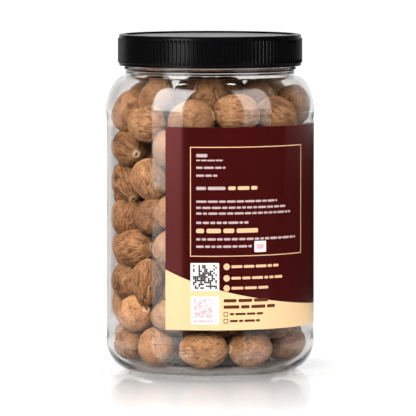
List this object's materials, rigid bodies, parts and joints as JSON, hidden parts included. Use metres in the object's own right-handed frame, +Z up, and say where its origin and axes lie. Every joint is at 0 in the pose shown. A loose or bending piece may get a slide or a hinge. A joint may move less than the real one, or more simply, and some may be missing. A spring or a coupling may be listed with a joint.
{
  "type": "jar of whole nutmegs",
  "caption": "Clear round jar with a wide neck and a ribbed black screw lid, filled with whole nutmegs behind a wrap-around label.",
  "frame": {"origin": "centre of the jar's foot, on the surface it stands on", "axes": "+Z up along the jar's axis; -Y is the front, where the wrap label begins; +X to the right of the front"},
  "size_m": [0.11, 0.11, 0.177],
  "materials": {
    "jar": "clear, polished",
    "lid": "satin black",
    "label": "satin print, dark maroon with a cream field",
    "nutmegs": "dry, matte"
  },
  "bodies": {
    "root": {"jar": "jar", "lid": "lid", "label": "label", "nutmegs": "nutmegs"}
  },
  "joints": []
}
